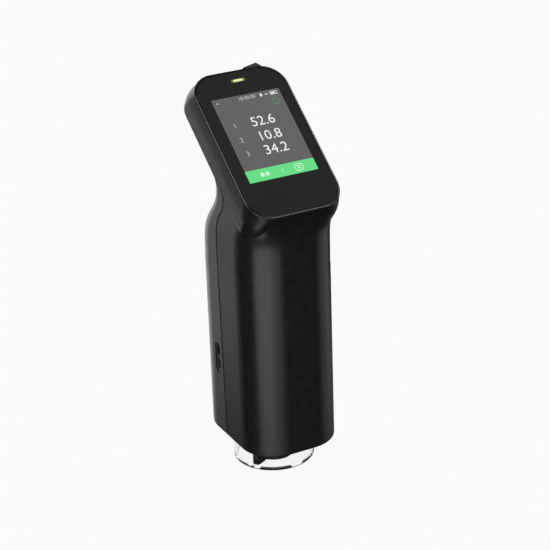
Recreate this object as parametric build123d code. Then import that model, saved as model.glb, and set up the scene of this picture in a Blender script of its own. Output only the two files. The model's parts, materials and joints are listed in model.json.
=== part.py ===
from build123d import *
from math import cos, radians, sin
import os

# Upright hand-held spectrophotometer. The origin is the centre of the clear ring's foot, +Z is up and
# the display side faces -Y. All sizes are in millimetres.

# ---- Driving dimensions ---------------------------------------------------------------------------

# Clearances
seat_gap = 0.15          # between pieces that are pushed together
moving_gap = 0.3         # round a button or the clear ring
running_gap = 0.06       # radial, between the aperture cap and the nose
seam_gap = 0.25          # between the two shells
screw_gap = 0.1          # round a screw's shank in a board

# Screws
screw_radius = 1.0
screw_head_radius = 1.9
screw_head_height = 1.2
boss_radius = 2.6
driver_radius = 0.8      # of the hexagon in a screw's head
driver_depth = 0.7

# Display module, which sets the width and length of the head
panel_width = 50.0
panel_length = 69.2
panel_thickness = 2.4
panel_edge = 4.0         # of the panel that its frame covers from behind
frame_wall = 1.8
frame_clearance = 0.7    # between the display frame and the shell
end_margin_top = 14.5    # from the panel to the head's end
end_margin_low = 16.5
glass_depth = 0.1        # of the glass's front behind the rim
glass_thickness = 1.1
ledge_thickness = 2.0
board_thickness = 1.2
board_gap = 1.6          # between the display frame and its board
display_board_width = 34.0
display_board_corner = 5.0
display_board_margin = 5.1
display_boss_radius = 2.0
light_width = 9.0
light_height = 2.0
light_margin = 7.5       # from the indicator light to the head's end
flex_width = 18.0
ribbon_width = 7.0
film_thickness = 0.2

# Body
wall = 2.2
body_width = panel_width + 2 * (frame_wall + frame_clearance + wall)
body_front = 38.3        # from the axis to the front wall
body_rear = 37.8
front_corner = 21.2
rear_corner = 21.5
body_bottom = 17.6
bottom_round = 1.6

# Head: a slab with swelling flanks whose face is tilted back
face_elevation = 52.1    # of the display's normal, in degrees above level
face_y = -5.6
face_z = 202.5
head_length = panel_length + end_margin_top + end_margin_low
head_thickness = 26.8
head_corner = 15.0
head_rear_round = 9.2
rim_width = 1.3
rim_round = 1.5
neck_top = face_z - 16.5
neck_start = neck_top - 58.0  # the walls are upright below this height

# Seam between the two shells, and the tongue that laps it inside
seam_y_low = 2.2
seam_y_high = 4.9
seam_depth = 19.6        # behind the face
seam_join = 14.0         # how far below the face's centre it turns to run along the head
lap_reach = 1.6

# Clear ring, nose and aperture cap
ring_inset = 5.3         # from the ring to the outside of the body
ring_wall = 2.0
ring_grip = 1.7          # how far the ring stands in its groove above the plate
ring_chamfer = 0.45
base_plate_bottom = 18.2
base_plate_thickness = 3.0
collar_wall = 1.2
collar_height = 4.0
seal_depth = 0.7
seal_height = 1.4
nose_radius = 11.3
nose_bottom = 2.1
nose_bore = 6.6
nose_chamfer = 0.6
nose_flange_gap = 1.8    # from the ring's bore to the nose's flange
nose_flange_thickness = 2.5
port_radius = 10.6
window_height = 9.5
window_radius = 8.0
window_thickness = 1.2
cap_wall = 1.14
cap_bottom = 0.6
cap_floor = 1.2
cap_height = 10.4
aperture_radius = 4.0
tab_reach = 20.2
tab_width = 4.8
tab_height = 6.4
tab_angle = 208.5        # from +X, about +Z

# Integrating sphere
sphere_clearance = 2.0   # from its flange to the shell
sphere_wall = 2.2
sphere_flange_reach = 3.3
sphere_flange_thickness = 2.0
sphere_platform_radius = 17.0
platform_wall = 2.1
lamp_circle = 12.2
lamp_count = 8
lamp_size = 2.2

# Optics frame
post_x = 16.5
post_inset = 10.3        # from the posts to the rear wall's outside
post_radius = 3.0
lug_x = 9.4
lug_half_width = 3.0
lug_depth = 7.0
lug_rise = 5.8           # of the screw above the base plate
lug_inset = 4.8          # from the lug to the rear wall's outside
chassis_thickness = 2.0
barrel_length = 16.0     # from the lamp board's seat to the chassis
barrel_radius = 7.2
barrel_bore = 5.4
barrel_flange = 3.3
barrel_end = 2.4
lens_rise = 7.4
lens_bulge = 1.0
lens_rim = 0.9
lens_lip = 0.8
spectrometer_height = 18.0
spectrometer_half_width = 19.0
spectrometer_front = 29.0
spectrometer_rear = 10.0
spectrometer_wall = 2.5
spectrometer_corner = 4.0
lid_thickness = 1.6
mirror_half_width = 4.5
mirror_height = 9.0
slit_width = 0.3
grating_radius = 7.2
grating_thickness = 4.2
grating_curve = 40.0

# Power and electronics
tray_wall = 1.6
tray_face = 11.6         # y of the tray's upright wall
tray_cheek = 26.0
battery_width = 34.2
battery_clearance = 0.1
cheek_wall = 1.3
battery_depth = 17.0
battery_corner = 6.0
main_board_width = 44.0
main_board_rise = 22.0   # above the optics chassis
main_board_screw_x = 15.0
standoff = 2.0
standoff_radius = 2.4

# Recess in the left flank
recess_y = 10.4
recess_length = 20.0
recess_width = 6.6
recess_depth = 0.8
socket_width = 2.6
socket_length = 7.4
socket_wall = 0.35
power_width = 3.0
power_length = 4.8
power_travel = 0.5
power_proud = 0.7        # of the button above the recess's floor
charge_radius = 0.75
side_board_inset = 5.0   # from the side board to the outside of the body
side_board_thickness = 1.6
side_board_width = 11.0
side_board_gap = 1.0     # from the side board to the optics chassis above it
side_screw_margin = 2.5
side_boss_radius = 1.8

# Top button
key_left_inset = 21.4    # of its sides from the outside of the body
key_right_inset = 8.0
key_rise_left = 2.7      # above the head's end
key_rise_peak = 4.7
key_peak_inset = 3.8     # from the key's right side
key_thickness = 5.4
key_travel = 0.7
switch_margin = 9.0      # from the switch's foot to the head's end
switch_length = 3.4
switch_height = 2.8
plunger_reach = 0.6

# ---- Derived places ---------------------------------------------------------------------------------

elevation = radians(face_elevation)
face_plane = Plane(origin=(0, face_y, face_z), x_dir=(1, 0, 0), z_dir=(0, -cos(elevation), sin(elevation)))
half_width = body_width / 2
half_head = head_length / 2
panel_centre = (end_margin_low - end_margin_top) / 2
panel_front = glass_depth + glass_thickness
panel_back = panel_front + panel_thickness
glass_seat = panel_front + 0.05
ledge_back = glass_seat + ledge_thickness
frame_back = panel_back + frame_wall
display_board_depth = frame_back + board_gap
display_board_back = display_board_depth + board_thickness
light_rise = half_head - light_margin
key_left = half_width - key_left_inset
key_right = half_width - key_right_inset
key_front = ledge_back + moving_gap + 0.05
key_back = key_front + key_thickness

ring_radius = half_width - ring_inset
base_plate_top = base_plate_bottom + base_plate_thickness
ring_top = base_plate_top + ring_grip
groove_out = ring_radius + moving_gap
groove_in = ring_radius - ring_wall - moving_gap
nose_flange_radius = ring_radius - ring_wall - nose_flange_gap
nose_screw_circle = nose_flange_radius - screw_head_radius - 1.0
flange_top = base_plate_top + nose_flange_thickness

sphere_flange_radius = half_width - wall - sphere_clearance
sphere_outer = sphere_flange_radius - sphere_flange_reach
sphere_radius = sphere_outer - sphere_wall
sphere_centre = flange_top + sphere_outer
platform_top = sphere_centre + sphere_radius + platform_wall
chassis_bottom = platform_top + barrel_length
chassis_top = chassis_bottom + chassis_thickness
post_y = body_rear - post_inset
lug_face = body_rear - lug_inset
lug_height = base_plate_top + lug_rise
lens_height = platform_top + lens_rise
spectrometer_top = chassis_top + spectrometer_height

tray_half_width = battery_width / 2 + battery_clearance + cheek_wall
tray_back = tray_face + tray_wall
battery_front = tray_back + 0.2
tray_end = battery_front + battery_depth
tray_top = neck_start + 18.0
battery_bottom = chassis_top + tray_wall + 1.4
battery_top = neck_start + 13.0
main_board_bottom = chassis_top + main_board_rise
main_board_top = neck_start + 30.0
board_rear = tray_face - standoff
board_front = board_rear - board_thickness

side_board_x = half_width - side_board_inset
side_board_bottom = sphere_centre + sphere_flange_thickness + 2.6
side_board_top = chassis_bottom - side_board_gap
recess_z = (side_board_bottom + side_board_top) / 2 + 0.05
recess_floor = half_width - recess_depth
socket_z = recess_z + 5.4
power_z = recess_z - 3.9
charge_z = recess_z - 8.1
side_screw_heights = (side_board_bottom + side_screw_margin, side_board_top - side_screw_margin)

NECK = [
    # height above the neck's start, front, rear, front corner, rear corner, swell of the flanks
    (0.0, body_front, body_rear, front_corner, rear_corner, 0.0),
    (10.0, body_front, body_rear - 0.4, front_corner, rear_corner, -0.1),
    (20.0, body_front + 0.1, 33.4, 20.9, 18.9, -0.2),
    (30.0, 39.4, 23.2, 19.4, 14.4, -0.15),
    (40.0, 42.6, 13.1, 16.2, 11.9, 0.05),
    (49.0, 46.4, 9.6, 16.4, 10.8, 0.2),
    (58.0, 51.0, 14.4, 16.0, 10.8, 0.2),
]
HEAD = [
    # depth behind the face, swell of the flanks there, corner
    (0.0, 0.0, head_corner), (4.0, 0.3, 14.4), (8.0, 0.5, 12.6), (12.0, 0.6, 11.6), (16.0, 0.55, 11.4),
    (20.0, 0.3, 11.4), (head_thickness, -0.5, 11.0),
]

# ---- Helpers ----------------------------------------------------------------------------------------


def save(shape, node):
    export_step(shape, f"parts/{node}.step")


def section(z, front, rear, corner_front, corner_rear, swell=0.0, inset=0.0):
    """A horizontal slice of the body, moved in from its outer wall by inset."""
    outline = Rectangle(body_width + 2 * (swell - inset), front + rear - 2 * inset)
    outline = Pos(0, (rear - front) / 2) * outline
    outline = fillet(outline.vertices().group_by(Axis.Y)[0], corner_front - inset)
    outline = fillet(outline.vertices().group_by(Axis.Y)[-1], corner_rear - inset)
    return Pos(0, 0, z) * outline


def body_slice(bottom, top, inset=0.0):
    outline = section(bottom, body_front, body_rear, front_corner, rear_corner, inset=inset)
    return extrude(outline, top - bottom)


def on_face(x, rise, depth):
    """A place in the head: x across, rise along the face from its centre, depth behind the face."""
    return face_plane * Pos(x, rise, -depth)


def head_slab(inset, front, back):
    """A rounded slab parallel to the face, between two depths."""
    outline = RectangleRounded(body_width - 2 * inset, head_length - 2 * inset, head_corner - inset)
    return on_face(0, 0, back) * extrude(outline, back - front)


def head_block(x, rise, depth, size, align):
    """A box in the head, with its sides along the face's own directions."""
    return on_face(x, rise, depth) * Box(*size, align=align)


def tube(outer, inner, bottom, top):
    return Pos(0, 0, bottom) * extrude(Circle(outer) - Circle(inner), top - bottom)


def rod(radius, bottom, top, x=0.0, y=0.0):
    return Pos(x, y, bottom) * extrude(Circle(radius), top - bottom)


def block(x_span, y_span, z_span):
    size = [span[1] - span[0] for span in (x_span, y_span, z_span)]
    low = [span[0] for span in (x_span, y_span, z_span)]
    return Pos(*low) * Box(*size, align=(Align.MIN, Align.MIN, Align.MIN))


def screw(length, head=screw_head_radius, drive=True):
    """A screw along -Z with the top of its head at the origin."""
    body = Pos(0, 0, -screw_head_height) * extrude(Circle(head), screw_head_height)
    body += Pos(0, 0, -length) * extrude(Circle(screw_radius), length)
    if drive:
        body -= Pos(0, 0, -driver_depth) * extrude(RegularPolygon(driver_radius, 6), 1)
    return body


def screws(places, length, **shape):
    return Compound(children=[place * screw(length, **shape) for place in places])


def screw_holes(places, length, above):
    """Clearance for screws: a shank hole, and a counterbore that is open above the head."""
    holes = Part()
    for place in places:
        holes += place * Pos(0, 0, -length) * extrude(Circle(screw_radius + seat_gap), length)
        holes += place * Pos(0, 0, -screw_head_height) * extrude(
            Circle(screw_head_radius + seat_gap), above + screw_head_height)
    return holes


CENTRE_FOOT = (Align.CENTER, Align.CENTER, Align.MIN)
LOW_FOOT = (Align.CENTER, Align.MIN, Align.MIN)
facing_back = Rot(180, 0, 0)

# ---- Housing ----------------------------------------------------------------------------------------


def body_and_neck(inset, bottom):
    upright = body_slice(bottom, neck_start, inset)
    neck = loft([section(neck_start + rise, *row, inset) for rise, *row in NECK])
    behind_face = on_face(0, 0, ledge_back) * Box(300, 500, 500, align=(Align.CENTER, Align.CENTER, Align.MAX))
    return (upright + neck) & behind_face


def head_form(inset):
    """The head's slab with swelling flanks and a rounded back, still sharp at the face."""
    slices = []
    for depth, swell, corner in HEAD:
        grow = swell - inset
        outline = RectangleRounded(body_width + 2 * grow, head_length + 2 * grow, corner - inset)
        slices.append(on_face(0, 0, min(depth, head_thickness - inset)) * outline)
    form = loft(slices)
    back = form.faces().sort_by(Axis(face_plane.origin, face_plane.z_dir))[0]
    return fillet(back.edges(), head_rear_round - inset)


def outer_form():
    slab = head_form(0)
    front = slab.faces().sort_by(Axis(face_plane.origin, face_plane.z_dir))[-1]
    slab = fillet(front.edges(), rim_round)
    form = body_and_neck(0, body_bottom) + slab
    rim = form.faces().sort_by(Axis.Z)[0].edges()
    return fillet(rim, bottom_round)


def inner_form(inset):
    behind_ledge = on_face(0, 0, ledge_back) * Box(300, 300, 300, align=(Align.CENTER, Align.CENTER, Align.MAX))
    return body_and_neck(inset, body_bottom - 1) + (head_form(inset) & behind_ledge)


def seam_region(shift=0.0):
    """Everything behind the seam: it climbs the flank, swings forward at the neck and follows the head."""
    along_head = Vector(0, sin(elevation), cos(elevation))
    into_head = Vector(0, cos(elevation), -sin(elevation))
    head_point = Vector(0, face_y, face_z) + into_head * seam_depth - along_head * seam_join
    end = head_point + along_head * head_length
    swing = [(seam_y_high, 12.0), (seam_y_high - 1.0, 25.0), (seam_y_high - 4.7, 32.4),
             (seam_y_high - 9.5, 38.0), (seam_y_high - 11.7, 43.4)]
    points = [(y, neck_start + rise) for y, rise in swing] + [(head_point.Y, head_point.Z)]
    with BuildSketch(Plane.YZ) as profile:
        with BuildLine():
            low = Line((seam_y_low, 0), points[0])
            turn = Spline(points, tangents=[(seam_y_high - seam_y_low, points[0][1]), (along_head.Y, along_head.Z)])
            Polyline((turn @ 1), (end.Y, end.Z), (end.Y + 60, end.Z), (end.Y + 60, 0), (low @ 0))
        make_face()
    return Pos(0, shift, 0) * extrude(profile.sketch, body_width, both=True)


def flank_slot(half_length, half_width_, outer, inner, z):
    """A rounded slot in the left flank, between two distances from the middle plane."""
    plane = Plane(origin=(-outer, recess_y, z), x_dir=(0, 0, 1), z_dir=(-1, 0, 0))
    return plane * extrude(SlotOverall(2 * half_length, 2 * half_width_), inner - outer)


cover_boss_inset = 8.5
cover_boss_x = half_width - 9.0
cover_boss_rise = half_head - cover_boss_inset
head_screw_seat = 2.8    # of the screw heads below the outside
body_screw_seat = 1.0
head_screw_length = 9.0
body_screw_length = 8.0
head_screw_places = [on_face(x, cover_boss_rise, head_thickness - head_screw_seat) * facing_back
                     for x in (-cover_boss_x, cover_boss_x)]
body_screw_places = [Pos(x, body_rear - body_screw_seat, lug_height) * Rot(-90, 0, 0) for x in (-lug_x, lug_x)]
upper_boss_rise = half_head - switch_margin
lower_boss_rise = light_margin - half_head
display_boss_places = [(-8.0, upper_boss_rise), (8.0, upper_boss_rise),
                       (-12.0, lower_boss_rise), (12.0, lower_boss_rise)]


def seat_ledge():
    """The rib inside both shells that the base plate is pushed up against."""
    bottom = base_plate_top + seat_gap
    return body_slice(bottom, bottom + 1.6, wall - 0.2) - body_slice(bottom - 1, bottom + 3, wall + 1.3)


def flank_ribs():
    """Ribs inside the front shell that carry the optics chassis."""
    ribs = Part()
    for side in (-1, 1):
        inner, outer = sorted((side * (half_width - wall - 2.6), side * (half_width - wall + 0.2)))
        ribs += block((inner, outer), (-18, -4), (chassis_bottom - 2.1, chassis_bottom - 0.1))
    return ribs


def key_outline(foot):
    """The top button's outline, seen square to the face."""
    peak = key_right - key_peak_inset
    outline = make_face(Polyline(
        (key_left, foot), (key_left, half_head + key_rise_left), (peak, half_head + key_rise_peak),
        (key_right, half_head - 0.2), (key_right, foot), close=True))
    return fillet(outline.vertices().group_by(Axis.Y)[1:], 1.1)


def make_housing():
    shell = outer_form() - inner_form(wall) + seat_ledge()

    rear = shell & seam_region(seam_gap)
    rear += shell & inner_form(wall / 2) & (seam_region(-lap_reach) - seam_region(seam_gap))
    for place in head_screw_places:
        rear += place * Pos(0, 0, -6.5) * extrude(Circle(boss_radius + 1.2), 5.6)
    for place in body_screw_places:
        rear += place * Pos(0, 0, -3.6) * extrude(Circle(boss_radius + 1.0), 2.8)
    rear -= screw_holes(head_screw_places, head_screw_length, 3)
    rear -= screw_holes(body_screw_places, body_screw_length, 3)
    deep = half_width - wall - 1
    recess = flank_slot(recess_length / 2, recess_width / 2, half_width + 1, recess_floor, recess_z)
    rear -= fillet(recess.faces().sort_by(Axis.X)[-1].edges(), 0.5)
    rear -= flank_slot(socket_length / 2 + seat_gap, socket_width / 2 + seat_gap, half_width, deep, socket_z)
    rear -= flank_slot(power_length / 2 + moving_gap, power_width / 2 + moving_gap, half_width, deep, power_z)
    rear -= flank_slot(charge_radius + seat_gap + 0.01, charge_radius + seat_gap, half_width, deep, charge_z)
    boss_length = side_board_inset - wall + 0.4
    for z in side_screw_heights:
        rear += Pos(-side_board_x, recess_y, z) * Rot(0, -90, 0) * extrude(Circle(side_boss_radius), boss_length)
        rear -= Pos(-side_board_x + 0.1, recess_y, z) * Rot(0, -90, 0) * extrude(Circle(screw_radius), 2.1)

    front = shell - seam_region()
    front -= inner_form(wall / 2 - seat_gap) & (seam_region(-lap_reach - seat_gap) - seam_region())
    front -= head_slab(rim_width, -1, glass_seat)
    opening = Rectangle(panel_width + 2 * seat_gap, panel_length + 2 * seat_gap)
    front -= on_face(0, panel_centre, ledge_back + 1) * extrude(opening, ledge_thickness + 1.5)
    light_opening = SlotOverall(light_width + 2 * seat_gap, light_height + 2 * seat_gap)
    front -= on_face(0, light_rise, ledge_back + 1) * extrude(light_opening, ledge_thickness + 1.5)
    key_opening = offset(key_outline(half_head - wall - 3.5), moving_gap)
    key_opening += Pos(0, 3) * key_opening
    front -= on_face(0, 0, key_back + moving_gap) * extrude(key_opening, key_thickness + 2 * moving_gap)
    boss_end = head_thickness - head_screw_seat - 6.6
    for x in (-cover_boss_x, cover_boss_x):
        boss = extrude(Circle(boss_radius) - Circle(screw_radius), boss_end - ledge_back + 0.1)
        front += on_face(x, cover_boss_rise, boss_end) * boss
    for x, rise in display_boss_places:
        boss = extrude(Circle(display_boss_radius) - Circle(screw_radius), display_board_depth - ledge_back + 0.1)
        front += on_face(x, rise, display_board_depth) * boss
    front += flank_ribs()
    return front, rear


# ---- Display end ------------------------------------------------------------------------------------

def make_display():
    glass = head_slab(rim_width + seat_gap, glass_depth, panel_front)
    glass = chamfer(glass.faces().sort_by(Axis(face_plane.origin, face_plane.z_dir))[-1].edges(), 0.25)
    light_hole = SlotOverall(light_width + seat_gap, light_height + seat_gap)
    glass -= on_face(0, light_rise, panel_front + 1) * extrude(light_hole, glass_thickness + 2)
    save(glass, "cover_glass")

    panel = on_face(0, panel_centre, panel_back) * extrude(Rectangle(panel_width, panel_length), panel_thickness)
    save(panel, "display_panel")

    outer = RectangleRounded(panel_width + 2 * frame_wall, panel_length + 2 * frame_wall, 1.5)
    frame = on_face(0, panel_centre, frame_back) * extrude(outer, frame_back - ledge_back)
    pocket = Rectangle(panel_width + 0.1, panel_length + 0.1)
    frame -= on_face(0, panel_centre, panel_back) * extrude(pocket, panel_thickness)
    window = Rectangle(panel_width - 2 * panel_edge, panel_length - 2 * panel_edge)
    frame -= on_face(0, panel_centre, frame_back + 1) * extrude(window, frame_wall + 2)
    lower_edge = panel_centre - panel_length / 2
    flex_notch = (flex_width + 1, frame_wall + panel_edge + 3, frame_wall + 1)
    frame -= head_block(0, lower_edge - frame_wall - 1, frame_back + 1, flex_notch, LOW_FOOT)
    save(frame, "display_frame")

    board_length = head_length - 2 * display_board_margin
    board = on_face(0, 0, display_board_back) * extrude(
        RectangleRounded(display_board_width, board_length, display_board_corner), board_thickness)
    for x, rise in display_boss_places:
        hole = extrude(Circle(screw_radius + screw_gap), board_thickness + 2)
        board -= on_face(x, rise, display_board_back + 1) * hole
    save(board, "display_board")
    places = [on_face(x, rise, display_board_back + screw_head_height) * facing_back
              for x, rise in display_boss_places]
    save(screws(places, 4.4, drive=False), "display_board_screws")

    led_height = 1.0
    pipe_back = display_board_depth - led_height - moving_gap
    pipe = extrude(SlotOverall(light_width, light_height), pipe_back - glass_depth / 2)
    save(on_face(0, light_rise, pipe_back) * pipe, "indicator_light_pipe")
    save(head_block(0, light_rise, display_board_depth, (3.2, 1.6, led_height), CENTRE_FOOT), "indicator_led")
    buzzer_height = 2.6
    buzzer = extrude(Circle(4.6) - Circle(0.8), buzzer_height)
    save(on_face(9, 18, display_board_back + buzzer_height) * buzzer, "buzzer")
    save(head_block(-6, -2, display_board_back + 1.0, (9, 9, 1.0), CENTRE_FOOT), "display_driver_chip")

    # The flex leaves the back of the panel, turns round below it and meets the front of the board.
    near_panel = panel_back + 0.15
    near_board = display_board_depth - 0.15
    flex_path = FilletPolyline(
        (lower_edge + 12, -near_panel), (lower_edge - 4.4, -near_panel), (lower_edge - 4.4, -near_board),
        (lower_edge + 3, -near_board), radius=1.2)
    flex_plane = Plane(origin=face_plane.origin, x_dir=face_plane.y_dir, z_dir=(1, 0, 0))
    save(extrude(flex_plane * trace(flex_path, film_thickness), flex_width / 2, both=True), "display_flex")


def make_top_button():
    switch_x = (key_left + key_right) / 2 - 1.0
    switch_foot = half_head - switch_margin
    switch = head_block(switch_x, switch_foot, display_board_depth, (6, switch_length, switch_height), LOW_FOOT)
    switch += head_block(switch_x, switch_foot + switch_length, display_board_depth - 0.7,
                         (2.6, plunger_reach, 1.4), LOW_FOOT)
    save(switch, "top_button_switch")

    # The key drops into its opening from inside, and its flange keeps it there.
    flange_top_ = half_head - wall - moving_gap
    flange_foot = switch_foot + switch_length + plunger_reach + key_travel + 0.2
    key = on_face(0, 0, key_back) * extrude(key_outline(flange_top_ - 1.0), key_thickness)
    crown = key.edges().filter_by_position(
        Axis(face_plane.origin, face_plane.y_dir), half_head + 0.8, half_head + 9)
    key = fillet([edge for edge in crown if edge.length > 3], 0.5)
    flange_right = key_right - 5.6
    flange_left = key_left - moving_gap - 0.8
    size = (flange_right - flange_left, flange_top_ - flange_foot, key_thickness + 0.7)
    flange = head_block((flange_left + flange_right) / 2, flange_foot, key_back + moving_gap + 0.8, size, LOW_FOOT)
    save(key + flange, "top_button")


# ---- Measuring end ----------------------------------------------------------------------------------

post_places = [(x, y) for x in (-post_x, post_x) for y in (-post_y, post_y)]
quarter_turns = [Rot(0, 0, 45 + 90 * turn) for turn in range(4)]


def make_base():
    plate = body_slice(base_plate_bottom, base_plate_top, wall + seat_gap)
    plate += tube(groove_out + collar_wall, nose_flange_radius + seat_gap, base_plate_top,
                  base_plate_top + collar_height)
    plate -= tube(groove_out, groove_in, base_plate_bottom - 1, ring_top + moving_gap)
    plate -= rod(nose_radius + seat_gap, 0, base_plate_top + 1)
    seal_bottom = base_plate_top - 0.9
    plate -= tube(groove_in + 0.1, groove_in - seal_depth, seal_bottom, seal_bottom + seal_height + 0.1)
    for x in (-lug_x, lug_x):
        lug = block((x - lug_half_width, x + lug_half_width), (lug_face - lug_depth, lug_face),
                    (base_plate_top, lug_height + lug_half_width))
        plate += fillet(lug.edges().filter_by(Axis.Y).group_by(Axis.Z)[-1], lug_half_width - 0.5)
        plate -= Pos(x, lug_face + 1, lug_height) * Rot(90, 0, 0) * extrude(Circle(screw_radius), lug_depth)
    screw_seat = base_plate_bottom + 0.2
    post_screws = [Pos(x, y, screw_seat) * facing_back for x, y in post_places]
    flange_screws = [turn * Pos(nose_screw_circle, 0, screw_seat) * facing_back for turn in quarter_turns]
    plate -= screw_holes(post_screws + flange_screws, 8, 1)
    save(plate, "base_plate")
    save(screws(post_screws, 8), "base_screws")
    save(screws(flange_screws, 4.8), "nose_screws")
    seal = tube(groove_in - 0.05, groove_in - seal_depth + 0.05, seal_bottom + 0.05, seal_bottom + 0.05 + seal_height)
    save(seal, "ring_seal")


def make_ring():
    inner = ring_radius - ring_wall
    edge = ring_chamfer
    profile = make_face(Polyline(
        (inner + edge, 0), (ring_radius - edge, 0), (ring_radius, edge), (ring_radius, ring_top - edge),
        (ring_radius - edge, ring_top), (inner + edge, ring_top), (inner, ring_top - edge), (inner, edge),
        close=True))
    save(revolve(Plane.XZ * profile, Axis.Z), "locating_ring")


def make_nose():
    edge = nose_chamfer
    window_seat = window_radius + 0.05
    profile = make_face(Polyline(
        (nose_bore, nose_bottom), (nose_radius - edge, nose_bottom), (nose_radius, nose_bottom + edge),
        (nose_radius, base_plate_top), (nose_flange_radius, base_plate_top), (nose_flange_radius, flange_top),
        (port_radius, flange_top), (window_seat, window_height + window_thickness),
        (window_seat, window_height), (nose_bore, window_height), close=True))
    barrel = revolve(Plane.XZ * profile, Axis.Z)
    for turn in quarter_turns:
        barrel -= turn * rod(screw_radius, base_plate_top - 1, flange_top - 0.4, nose_screw_circle)
    save(barrel, "nose_barrel")
    save(rod(window_radius, window_height, window_height + window_thickness), "nose_window")

    bore = nose_radius + running_gap
    outside = bore + cap_wall
    edge = cap_wall - 0.44
    cup = make_face(Polyline(
        (aperture_radius, cap_bottom), (outside - edge, cap_bottom), (outside, cap_bottom + edge),
        (outside, cap_height), (bore, cap_height), (bore, cap_bottom + cap_floor),
        (aperture_radius + cap_floor + 0.2, cap_bottom + cap_floor), close=True))
    cap = revolve(Plane.XZ * cup, Axis.Z)
    root = bore + 0.5
    tab = block((root, tab_reach), (-tab_width / 2, tab_width / 2), (cap_bottom, cap_bottom + tab_height))
    tab = fillet(tab.edges().filter_by(Axis.Z).group_by(Axis.X)[-1], 0.4 * tab_width)
    tab = fillet(tab.faces().sort_by(Axis.Z)[-1].edges().sort_by(Axis.X)[1:], 0.6)
    save(cap + Rot(0, 0, tab_angle) * tab, "aperture_cap")


def make_sphere():
    flange_low = sphere_centre - sphere_flange_thickness
    flange_high = sphere_centre + sphere_flange_thickness
    ball = Pos(0, 0, sphere_centre) * Sphere(sphere_outer)
    cavity = Pos(0, 0, sphere_centre) * Sphere(sphere_radius)
    flange = tube(sphere_flange_radius, sphere_radius + 0.6, flange_low, flange_high)
    places = [turn * Pos(sphere_outer + 1.6, 0, flange_high + screw_head_height) for turn in quarter_turns]
    holes = screw_holes(places, 5, 1)
    wide = 2 * body_width

    low_half = ball + flange + tube(port_radius + 3.4, port_radius - 1.6, flange_top, flange_top + 4)
    low_half &= block((-wide, wide), (-wide, wide), (flange_top, sphere_centre))
    low_half -= cavity + rod(port_radius, flange_top - 1, sphere_centre)
    save(low_half - holes, "sphere_lower")

    top_half = ball + flange + rod(sphere_platform_radius, sphere_centre + 8, platform_top)
    top_half &= block((-wide, wide), (-wide, wide), (sphere_centre, platform_top))
    top_half -= cavity + rod(barrel_bore, sphere_centre, platform_top + 1) + holes
    lamp_places = [Rot(0, 0, 360 / lamp_count * turn) * Pos(lamp_circle, 0, 0) for turn in range(lamp_count)]
    for place in lamp_places:
        top_half -= place * rod(lamp_size / 2 + 0.8, sphere_centre + 10, platform_top + 1)
    save(top_half, "sphere_upper")
    save(screws(places, 5, head=1.5, drive=False), "sphere_screws")

    board = tube(sphere_platform_radius - 0.2, barrel_radius + 0.4, platform_top, platform_top + board_thickness)
    save(board, "lamp_board")
    lamp_height = lamp_size + 0.2
    lamps = [place * Pos(0, 0, platform_top - lamp_height) * Box(lamp_size, lamp_size, lamp_height, align=CENTRE_FOOT)
             for place in lamp_places]
    save(Compound(children=lamps), "lamp_leds")


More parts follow.
